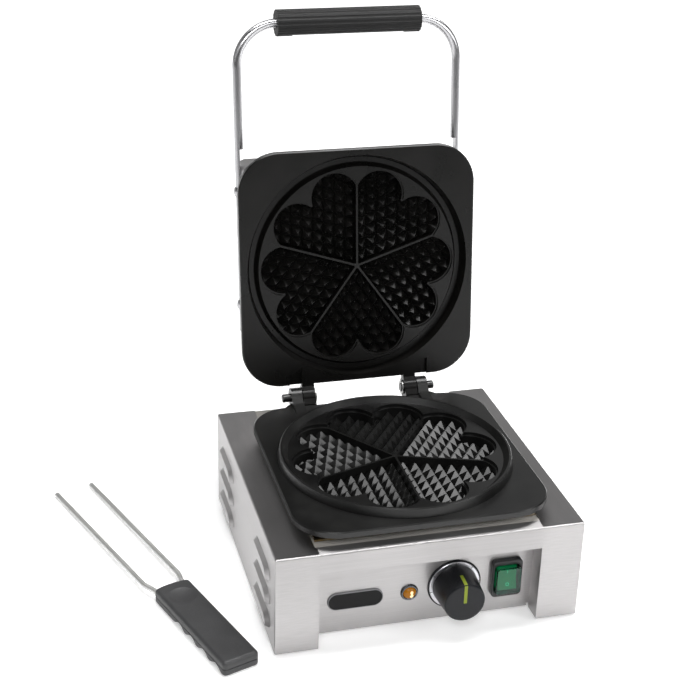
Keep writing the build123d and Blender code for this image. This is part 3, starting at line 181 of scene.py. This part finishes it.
world = bpy.data.worlds.new("dim_studio")
bpy.context.scene.world = world
world.use_nodes = True
background = world.node_tree.nodes["Background"]
background.inputs["Color"].default_value = linear("#ffffff")
sky = add_node(world.node_tree, "ShaderNodeTexCoord")
sides = add_node(world.node_tree, "ShaderNodeSeparateXYZ", None, {"Vector": sky.outputs["Generated"]})
across_room = spread(
    world.node_tree, sides.outputs["Y"], ROOM_FRONT, ROOM_BACK, ROOM_TURNS_FROM, ROOM_TURNS_TO
)
world.node_tree.links.new(across_room, background.inputs["Strength"])


def softbox(name, at, target, width, height, power):
    """A rectangular area light that looks at a point."""
    lamp = bpy.data.lights.new(name, "AREA")
    lamp.shape, lamp.size, lamp.size_y, lamp.energy = "RECTANGLE", width, height, power
    box = bpy.data.objects.new(name, lamp)
    bpy.context.scene.collection.objects.link(box)
    box.location = at
    box.rotation_euler = (Vector(target) - Vector(at)).to_track_quat("-Z", "Y").to_euler()


middle = (0, 0, 0.12)
softbox("softbox_key", (-0.5, -1.65, 1.5), middle, 0.9, 0.7, 23)
softbox("softbox_front_right", (1.4, -1.25, 1.1), middle, 1.1, 0.9, 18)
softbox("softbox_overhead", (0.35, 0.12, 1.6), (0.35, 0.12, 0), 1.7, 0.4, 34)
softbox("softbox_left", (-1.7, -0.5, 0.9), middle, 0.8, 0.8, 2)
bpy.context.scene.view_settings.view_transform = "Standard"
print("floor and four softboxes")

# %% [markdown]
# Stainless steel, brushed: sheet is ground with a belt, which leaves fine straight scratches
# along the sheet. Each scratch is a tiny gutter that throws light to both its sides, so a
# highlight is stretched across the grain: the deck's front strip shines although it faces the
# ceiling, and the wings, whose grain runs front to back, stay dark. The shader's anisotropy does
# that, with a tangent laid across the grain. The real scratches are a few hundredths of a
# millimetre wide, too fine to show, so the streaks of colour are drawn 0.7 mm wide.

# %% Brushed stainless steel
STREAK_MM, STREAK_LENGTH_MM, CLOUD_MM = 0.7, 60.0, 111.0
STREAK_DARKER = 9  # of 255, for the dark streaks
STEEL_GLOSS_STRETCH = 0.85


def brushed_stainless(name, across_grain, streak_mm, colour="#b9b7b7", roughness=0.4):
    """Belt-ground stainless sheet. across_grain points across the scratches."""
    material, tree, shader = new_material(name, {"Metallic": 1.0, "Anisotropic": STEEL_GLOSS_STRETCH})
    tangent = add_node(tree, "ShaderNodeCombineXYZ", dict(zip("XYZ", across_grain)))
    tree.links.new(tangent.outputs["Vector"], shader.inputs["Tangent"])
    streaks = object_noise(tree, streak_mm, detail=3.0, roughness=0.6)
    broad = object_noise(tree, CLOUD_MM, detail=1.0)
    darker = "#%02x%02x%02x" % tuple(int(colour[i : i + 2], 16) - STREAK_DARKER for i in (1, 3, 5))
    tint(tree, shader, spread(tree, streaks.outputs["Fac"], 0.0, 1.0), darker, colour)
    tree.links.new(
        spread(tree, broad.outputs["Fac"], roughness * 0.92, roughness * 1.08), shader.inputs["Roughness"]
    )
    bump(tree, shader, streaks.outputs["Fac"], 0.006)
    return material


along_x_mm = (STREAK_LENGTH_MM, STREAK_MM, STREAK_MM)
along_y_mm = (STREAK_LENGTH_MM / 4, STREAK_LENGTH_MM, STREAK_MM)
steel_across = brushed_stainless("stainless_brushed_across", (0, 1, 1), along_x_mm)
steel_folded = brushed_stainless("stainless_brushed_round_the_fold", (0.15, 0, 1), along_y_mm)


def finish(material, *names):
    """Give CAD nodes one material in every slot."""
    for name in names:
        data = nodes[name].data
        if not data.materials:
            data.materials.append(material)
        for slot in range(len(data.materials)):
            data.materials[slot] = material


# The deck is the same stainless sheet with a lighter colour: a painted highlight for the light its front
# strip catches, on top of the stretched gloss.
steel_deck_painted_lighter = brushed_stainless("stainless_deck_satin_painted_lighter", (0, 1, 1), along_x_mm, "#cfccc7", 0.6)
finish(steel_across, "front_rail", "control_panel", "rear_panel", "base_plate")
finish(steel_deck_painted_lighter, "deck_plate")
finish(steel_folded, "side_panel_left", "side_panel_right", "lid_cover")
print("stainless sheet")

# %% [markdown]
# Heat tint: the tray under the lower plate gets hot, and stainless steel then turns straw and
# brown from its edges. The oxide is thin and clear, so it colours the metal and leaves its gloss.

# %% Heat-tinted stainless tray
PATCH_MM = 28.6
heat_tinted, tree, shader = new_material("stainless_heat_tinted", {"Metallic": 1.0, "Roughness": 0.3})
patches = object_noise(tree, PATCH_MM, detail=3.0)
tint(tree, shader, spread(tree, patches.outputs["Fac"], 0.0, 1.0, 0.42, 0.6), "#a58f68", "#c4c0b6")
finish(heat_tinted, "heat_shield")

# %% [markdown]
# Coated cast aluminium: the plates are sand or die cast, blasted, and sprayed with a black
# non-stick coat. The coat is satin, and follows the fine pebble of the blasted metal.

# %% Non-stick coated castings
PEBBLE_MM, WEAR_MM = 0.9, 33.3


def coated_casting(name, dark, light, roughness, specular):
    """Black fluoropolymer coat on blasted aluminium."""
    material, tree, shader = new_material(name, {"IOR": 1.45, "Specular IOR Level": specular})
    pebble = object_noise(tree, PEBBLE_MM)
    wear = object_noise(tree, WEAR_MM)
    tint(tree, shader, spread(tree, wear.outputs["Fac"], 0.0, 1.0), dark, light)
    gloss = spread(tree, wear.outputs["Fac"], roughness * 0.85, roughness * 1.15)
    tree.links.new(gloss, shader.inputs["Roughness"])
    bump(tree, shader, pebble.outputs["Fac"], 0.02)
    return material


finish(coated_casting("nonstick_coated_casting", "#080808", "#0e0e0d", 0.33, 0.55), "lower_plate")
# The lid carries the same coat as the lower plate; its copy is drawn darker and reflects less, a painted
# shade on its face.
finish(coated_casting("nonstick_coated_lid_painted_darker", "#070706", "#0b0a09", 0.3, 0.33), "upper_plate")

# %% [markdown]
# Chrome, tin and zinc: the bail is bar that was drawn through a die before it was plated, so its
# scratches run along it and spread each reflection round the bar. The fork's tines are tinned
# wire, paler and duller. Clips and screws are zinc plated, and the hinge pins are blackened. The
# bar's scratches are too fine to show, so its streaks are drawn 2 mm wide.

# %% Chromed bar, tinned wire, zinc plating
DRAWN_STREAK_MM, DRAWN_LENGTH_MM = 2.0, 125.0
TIN_MM, ZINC_CRYSTAL_MM, OXIDE_MM = 6.25, 2.5, 3.33
chrome, tree, shader = new_material(
    "chromed_bar",
    {"Metallic": 1.0, "Base Color": linear("#b6b6b8"), "Anisotropic": 0.8, "Anisotropic Rotation": 0.25},
)
along_bar = add_node(tree, "ShaderNodeCombineXYZ", {"Z": 1.0})
tree.links.new(along_bar.outputs["Vector"], shader.inputs["Tangent"])
drawn = object_noise(tree, (DRAWN_STREAK_MM, DRAWN_STREAK_MM, DRAWN_LENGTH_MM))
tree.links.new(spread(tree, drawn.outputs["Fac"], 0.26, 0.31), shader.inputs["Roughness"])
finish(chrome, "handle_rod", "handle_rivets")
tinned, tree, shader = new_material("tinned_wire", {"Metallic": 1.0, "Base Color": linear("#cfcfcd")})
dull = object_noise(tree, TIN_MM)
tree.links.new(spread(tree, dull.outputs["Fac"], 0.42, 0.55), shader.inputs["Roughness"])
finish(tinned, "fork_tines")

zinc, tree, shader = new_material("zinc_plated_steel", {"Metallic": 1.0, "Base Color": linear("#9c9c9a")})
crystals = object_noise(tree, ZINC_CRYSTAL_MM)
tree.links.new(spread(tree, crystals.outputs["Fac"], 0.28, 0.42), shader.inputs["Roughness"])
blackened, tree, shader = new_material(
    "blackened_steel_pin", {"Metallic": 1.0, "Base Color": linear("#4a4a4a")}
)
oxide = object_noise(tree, OXIDE_MM)
tree.links.new(spread(tree, oxide.outputs["Fac"], 0.25, 0.4), shader.inputs["Roughness"])
finish(blackened, "hinge_pin_left", "hinge_pin_right")
finish(
    zinc, "hinge_clips", "rear_screws", "foot_screws",
    "plate_spacers", "plate_bolts", "lid_studs", "cover_nuts", "thermostat_shaft",
    "thermostat_bulb", "lower_heater", "upper_heater",
)

# %% [markdown]
# Moulded plastics: grip, fork handle and switch frame are black nylon or phenolic with a fine
# spark-eroded grain. The knob, badge and lamp bezel are smoother ABS with a clear gloss.

# %% Moulded plastics
GRAIN_MM, FLOW_CLOUD_MM = 0.6, 25.0


def moulded_plastic(name, dark, light, roughness, grain_mm=GRAIN_MM, relief=0.03, specular=0.5):
    """Injection-moulded plastic with a fine spark-eroded grain."""
    material, tree, shader = new_material(name, {"IOR": 1.5, "Specular IOR Level": specular})
    grain = object_noise(tree, grain_mm)
    cloud = object_noise(tree, FLOW_CLOUD_MM)
    tint(tree, shader, spread(tree, cloud.outputs["Fac"], 0.0, 1.0), dark, light)
    gloss = spread(tree, grain.outputs["Fac"], roughness * 0.88, roughness * 1.12)
    tree.links.new(gloss, shader.inputs["Roughness"])
    bump(tree, shader, grain.outputs["Fac"], relief)
    return material


finish(moulded_plastic("black_phenolic_grip", "#090909", "#0e0e0e", 0.6, specular=0.3), "handle_grip")
finish(moulded_plastic("grey_black_nylon", "#2a2a2b", "#343435", 0.5, 0.8, 0.05), "fork_handle")
finish(moulded_plastic("black_nylon", "#151617", "#1c1d1e", 0.42), "switch_frame", "switch_body",
       "lamp_body", "thermostat_body", "cable_gland")
gloss_abs = moulded_plastic("black_abs_gloss", "#0d0e10", "#141518", 0.3, 0.5, 0.01, 0.22)
finish(gloss_abs, "knob", "dial_skirt")
finish(moulded_plastic("lime_paint", "#66741a", "#76821e", 0.5, 0.4, 0.01, 0.3), "knob_pointer")
finish(moulded_plastic("black_rubber", "#101010", "#171717", 0.75, 1.2, 0.06), "rubber_feet", "lid_grommet")
finish(moulded_plastic("white_ceramic_block", "#cfcdc4", "#dedcd4", 0.5), "terminal_block")
finish(moulded_plastic("glass_wool_blanket", "#c8c2ae", "#dcd8ca", 0.95, 1.8, 0.6),
       "lower_insulation", "upper_insulation")

# %% [markdown]
# Turned aluminium ring: the dial's ring is faced on a lathe, so its fine grooves run in circles
# and the highlight fans out from the centre. Rings of noise on the distance from the dial's axis
# draw them.

# %% Satin dial ring
LATHE_GROOVE_MM = 0.4
ring_low, ring_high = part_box("dial_ring")
dial_centre = (ring_low + ring_high) / 2
satin, tree, shader = new_material(
    "satin_turned_aluminium", {"Metallic": 1.0, "Base Color": linear("#c4c4c8"), "Roughness": 0.3}
)
place = add_node(tree, "ShaderNodeTexCoord")
centred = add_node(
    tree, "ShaderNodeVectorMath",
    {"operation": "SUBTRACT", 1: tuple(dial_centre)}, {0: place.outputs["Object"]},
)
reach = add_node(tree, "ShaderNodeVectorMath", {"operation": "LENGTH"}, {0: centred.outputs["Vector"]})
grooves = add_node(
    tree, "ShaderNodeTexNoise",
    {"noise_dimensions": "1D", "Scale": 1000 / LATHE_GROOVE_MM, "Detail": 2.0}, {"W": reach.outputs["Value"]},
)
bump(tree, shader, grooves.outputs["Fac"], 0.02)
finish(satin, "dial_ring")

# %% [markdown]
# Badge: a cast strip with a thin raised lip. The lip catches the light, so it is drawn lighter by
# the distance from the strip's middle line. The face is left bare.

# %% Badge and lamp bezel
BADGE_LIP_MM, BADGE_LIP_WIDTH_MM, BADGE_LIP_SOFT_MM, PLATING_MM = 8.5, 1.0, 0.1, 2.0
badge_low, badge_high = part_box("badge_plate")
badge_centre = (badge_low + badge_high) / 2
spine_half = (badge_high.x - badge_low.x) / 2 - (badge_high.z - badge_low.z) / 2
badge, tree, shader = new_material(
    "black_badge_with_bright_lip", {"Roughness": 0.35, "IOR": 1.5, "Specular IOR Level": 0.15}
)
place = add_node(tree, "ShaderNodeTexCoord")
from_middle = add_node(
    tree, "ShaderNodeVectorMath",
    {"operation": "SUBTRACT", 1: tuple(badge_centre)}, {0: place.outputs["Object"]},
)
one_side = add_node(
    tree, "ShaderNodeVectorMath", {"operation": "ABSOLUTE"}, {0: from_middle.outputs["Vector"]}
)
past_spine = add_node(
    tree, "ShaderNodeVectorMath",
    {"operation": "SUBTRACT", 1: (spine_half, 1, 0)}, {0: one_side.outputs["Vector"]},
)
kept = add_node(
    tree, "ShaderNodeVectorMath", {"operation": "MAXIMUM", 1: (0, 0, 0)}, {0: past_spine.outputs["Vector"]}
)
reach = add_node(tree, "ShaderNodeVectorMath", {"operation": "LENGTH"}, {0: kept.outputs["Vector"]})
lip_starts = (BADGE_LIP_MM - BADGE_LIP_WIDTH_MM) * MM
lip = spread(tree, reach.outputs["Value"], 0.0, 1.0, lip_starts, lip_starts + BADGE_LIP_SOFT_MM * MM)
tint(tree, shader, lip, "#0d0d0e", "#6e6e70")
finish(badge, "badge_plate")

bezel, tree, shader = new_material(
    "gunmetal_plated_bezel", {"Metallic": 1.0, "Base Color": linear("#5c5e60")}
)
plating = object_noise(tree, PLATING_MM)
tree.links.new(spread(tree, plating.outputs["Fac"], 0.2, 0.3), shader.inputs["Roughness"])
finish(bezel, "lamp_bezel")

# %% [markdown]
# Lamp: an amber lens over a neon tube that glows. The tube's two electrodes make a figure of
# eight, and seen from the left it sits right of the middle. It is drawn as light in the lens, by
# the distance from three points, because the tube itself is a blur behind thick plastic.

# %% Amber lens
TUBE_BRIGHT_MM, TUBE_FADED_MM = 0.8, 1.7  # distance from the tube's points
lens_low, lens_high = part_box("lamp_lens")
lens_centre = (lens_low + lens_high) / 2
amber, tree, shader = new_material(
    "amber_polycarbonate",
    {"Roughness": 0.12, "IOR": 1.5, "Specular IOR Level": 0.25, "Emission Strength": 0.75},
)
place = add_node(tree, "ShaderNodeTexCoord")


def glow_distance(offset_mm, weight):
    """Distance in the lens's face from a point of the tube, made longer where the glow is thin."""
    point = lens_centre + Vector((offset_mm[0], 0, offset_mm[1])) * MM
    away = add_node(
        tree, "ShaderNodeVectorMath", {"operation": "SUBTRACT", 1: tuple(point)}, {0: place.outputs["Object"]}
    )
    flat = add_node(
        tree, "ShaderNodeVectorMath",
        {"operation": "MULTIPLY", 1: (weight, 0, weight)}, {0: away.outputs["Vector"]},
    )
    return add_node(tree, "ShaderNodeVectorMath", {"operation": "LENGTH"}, {0: flat.outputs["Vector"]})


nearest = glow_distance((1.1, 1.7), 1.0)
for offset_mm, weight in (((1.1, -1.7), 0.85), ((1.1, 0.0), 1.7)):
    other = glow_distance(offset_mm, weight)
    nearest = add_node(
        tree, "ShaderNodeMath",
        {"operation": "MINIMUM"}, {0: nearest.outputs["Value"], 1: other.outputs["Value"]},
    )
tube = spread(tree, nearest.outputs["Value"], 1.0, 0.0, TUBE_BRIGHT_MM * MM, TUBE_FADED_MM * MM)
tint(tree, shader, tube, "#7a4a04", "#ffd890")
glow = add_node(tree, "ShaderNodeMix", {"data_type": "RGBA"}, {"Factor": tube})
glow.inputs["A"].default_value = linear("#6e4402")
glow.inputs["B"].default_value = linear("#ffe9b8")
tree.links.new(glow.outputs["Result"], shader.inputs["Emission Color"])
finish(amber, "lamp_lens")

# %% [markdown]
# Switch: a lit green rocker behind a clear green splash cap. The cap is thin PVC, so it lets the
# rocker's colour through and adds its own gloss and darker edges.

# %% Green cap and rocker
CAP_RIPPLE_MM, ROCKER_CLOUD_MM = 3.33, 8.33
green_cap, tree, shader = new_material(
    "green_clear_pvc",
    {"Base Color": linear("#2c9682"), "Transmission Weight": 1.0, "IOR": 1.45, "Specular IOR Level": 0.2},
)
ripple = object_noise(tree, CAP_RIPPLE_MM, detail=1.0)
tree.links.new(spread(tree, ripple.outputs["Fac"], 0.03, 0.06), shader.inputs["Roughness"])
finish(green_cap, "switch_cap")

green_rocker, tree, shader = new_material(
    "green_polycarbonate_rocker",
    {"IOR": 1.5, "Roughness": 0.25, "Emission Color": linear("#22c486"), "Emission Strength": 0.45},
)
cloud = object_noise(tree, ROCKER_CLOUD_MM, detail=1.0)
tint(tree, shader, spread(tree, cloud.outputs["Fac"], 0.0, 1.0), "#148a5a", "#1aa56c")
finish(green_rocker, "switch_rocker")
print("badge, lamp, switch")

# %% [markdown]
# Printed signs: the dial's ring carries the numbers 1 to 8 round the knob's travel of 300 degrees,
# and the rocker carries the usual line and circle. They are pad-printed ink, so each is a text
# shape made a mesh, made bolder, and half sunk, so that 0.05 mm of it stands on its carrier.

# %% Dial numbers, switch signs
INK_THICKNESS, INK_WEIGHT, LETTER_BODY = 0.1, 0.12, 0.7
NUMBER_HEIGHT, NUMBER_RADIUS, KNOB_TRAVEL = 1.9, 21.25, radians(300)
NUMBERS, SIGN_HEIGHT, THIN_INK_MM = 8, 2.9, 1.11


def printed_sign(name, text, height, at, turn, lean, carrier, ink):
    """A flat sign facing the front: turned in its plane, leaned back, and put in place."""
    bpy.ops.object.select_all(action="DESELECT")
    bpy.ops.object.text_add(location=(0, 0, 0))
    sign = bpy.context.object
    sign.name = name
    sign.data.body = text
    sign.data.align_x, sign.data.align_y = "CENTER", "CENTER"
    sign.data.size = height * MM / LETTER_BODY
    sign.data.extrude = INK_THICKNESS * MM / 2
    sign.data.offset = INK_WEIGHT * MM
    bpy.ops.object.convert(target="MESH")
    sign = bpy.context.object
    stand = Matrix.Rotation(pi / 2 - lean, 4, "X")
    sign.matrix_world = Matrix.Translation(at) @ Matrix.Rotation(turn, 4, "Y") @ stand
    bpy.ops.object.transform_apply(location=True, rotation=True, scale=True)
    sign.data.materials.clear()
    sign.data.materials.append(ink)
    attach(sign, carrier)


dark_ink = moulded_plastic("dark_pad_printed_ink", "#1c1c20", "#26262a", 0.6, 0.3, 0.005)
for number in range(1, NUMBERS + 1):
    turn = KNOB_TRAVEL * (number - 1) / (NUMBERS - 1)
    at = Vector((dial_centre.x, ring_low.y, dial_centre.z))
    at += NUMBER_RADIUS * MM * Vector((sin(turn), 0, cos(turn)))
    name = "dial_number_%d" % number
    printed_sign(name, str(number), NUMBER_HEIGHT, at, turn, 0, "cabinet", dark_ink)

mint_ink, tree, shader = new_material(
    "mint_pad_printed_ink", {"Roughness": 0.5, "Emission Color": linear("#a8f0cc"), "Emission Strength": 1.4}
)
thin = object_noise(tree, THIN_INK_MM, detail=1.0)
tint(tree, shader, spread(tree, thin.outputs["Fac"], 0.0, 1.0), "#9fe6c4", "#c4f5dc")
rocker_low, rocker_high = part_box("switch_rocker")
rocker_x = (rocker_low.x + rocker_high.x) / 2
# the rocker's upper face stands upright at rest, and its lower face leans back
ON_AT = Vector((rocker_x, -0.11658, 0.0455))
OFF_AT = Vector((rocker_x, -0.11811, 0.0335))
OFF_LEAN = radians(14.4)
printed_sign("switch_on_line", "I", SIGN_HEIGHT, ON_AT, 0, 0, "rocker", mint_ink)
printed_sign("switch_off_circle", "O", SIGN_HEIGHT, OFF_AT, 0, OFF_LEAN, "rocker", mint_ink)
print("ten printed signs")
